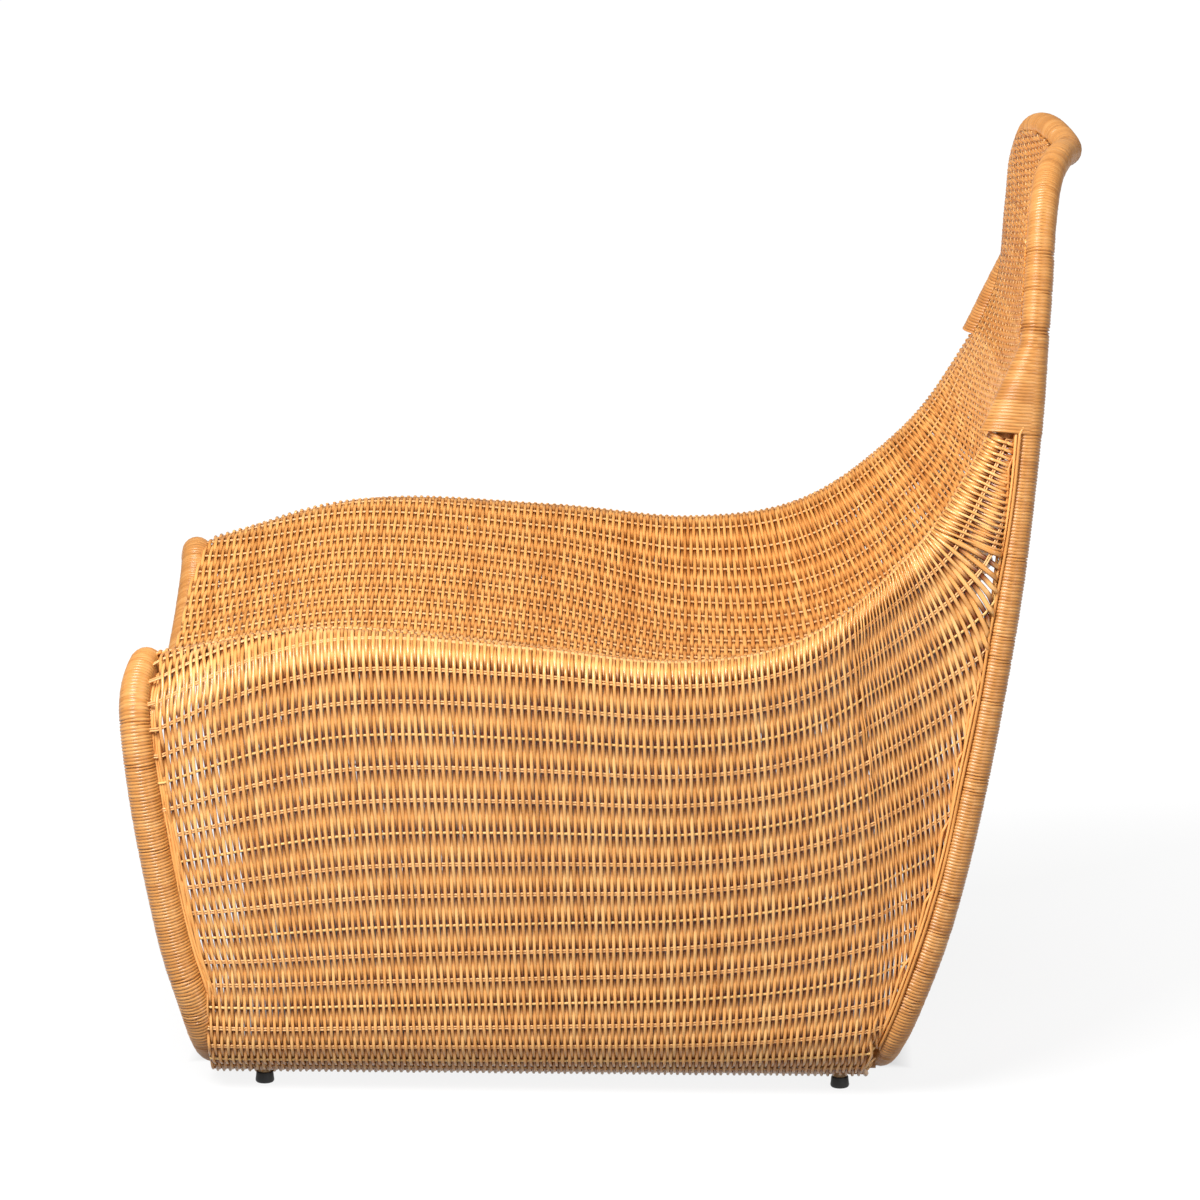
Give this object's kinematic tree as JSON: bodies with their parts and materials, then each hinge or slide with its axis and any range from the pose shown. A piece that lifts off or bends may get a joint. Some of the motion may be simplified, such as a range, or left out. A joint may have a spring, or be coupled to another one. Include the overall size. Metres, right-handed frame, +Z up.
{
  "type": "lounge chair",
  "caption": "Low woven-rattan lounge chair: bent hoops front and back, closed curved sides that roll over into a dished seat, a tall rounded back, and small capped feet.",
  "frame": {"origin": "on the floor under the middle of the chair's bounding box", "axes": "+Z up, -Y the way the chair faces, +X towards the sitter's left"},
  "size_m": [0.679, 0.8536, 0.8308],
  "materials": {
    "pole": "satin",
    "binding": "semi-gloss",
    "weave": "semi-gloss",
    "peg": "satin",
    "rubber": "matte",
    "nail": "satin"
  },
  "bodies": {
    "root": {"seat_front_rail": "pole", "seat_front_binding": "binding", "front_floor_rail": "pole", "back_arch": "pole", "back_arch_binding": "binding", "rear_floor_rail": "pole", "seat_bearer_front": "pole", "seat_bearer_rear": "pole", "back_bearer": "pole", "seat_weave": "weave", "back_weave": "weave", "front_leg_left": "pole", "front_leg_right": "pole", "front_leg_binding_left": "binding", "front_leg_binding_right": "binding", "rear_leg_left": "pole", "rear_leg_right": "pole", "rear_leg_binding_left": "binding", "rear_leg_binding_right": "binding", "arm_rail_left": "pole", "arm_rail_right": "pole", "seat_bearer_front_nail_left": "nail", "seat_bearer_front_nail_right": "nail", "seat_bearer_rear_nail_left": "nail", "seat_bearer_rear_nail_right": "nail", "back_bearer_nail_left": "nail", "back_bearer_nail_right": "nail", "wing_wrap_left": "binding", "wing_wrap_right": "binding", "side_floor_rail_left": "pole", "side_floor_rail_right": "pole", "front_foot_peg_left": "peg", "front_foot_peg_right": "peg", "rear_foot_peg_left": "peg", "rear_foot_peg_right": "peg", "front_foot_cap_left": "rubber", "front_foot_cap_right": "rubber", "rear_foot_cap_left": "rubber", "rear_foot_cap_right": "rubber", "side_weave_left": "weave", "side_weave_right": "weave"}
  },
  "joints": []
}
